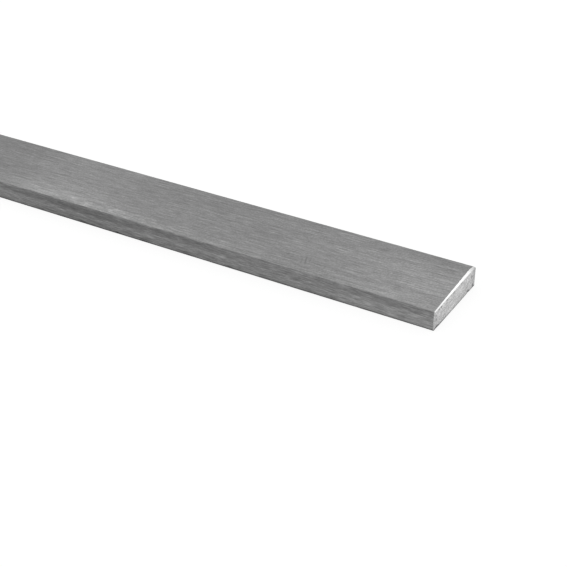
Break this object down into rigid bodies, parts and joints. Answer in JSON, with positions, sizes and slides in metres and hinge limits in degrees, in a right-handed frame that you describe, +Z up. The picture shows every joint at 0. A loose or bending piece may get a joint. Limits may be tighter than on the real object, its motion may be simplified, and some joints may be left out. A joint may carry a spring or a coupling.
{
  "type": "flat bar",
  "caption": "Straight flat bar of rolled steel stock with brushed wide faces, slightly bulged sides and square sawn ends, for frames, brackets and other fabrication.",
  "frame": {"origin": "centre of the bottom wide face, halfway along the bar", "axes": "+X along the bar towards the end with the ground top edge, +Y across its width, +Z up through its thickness"},
  "size_m": [1, 0.045, 0.01],
  "materials": {
    "bare_steel": "bare rolled steel, brushed lengthwise, with a brighter sawn end"
  },
  "bodies": {
    "root": {"flat_bar": "bare_steel"}
  },
  "joints": []
}
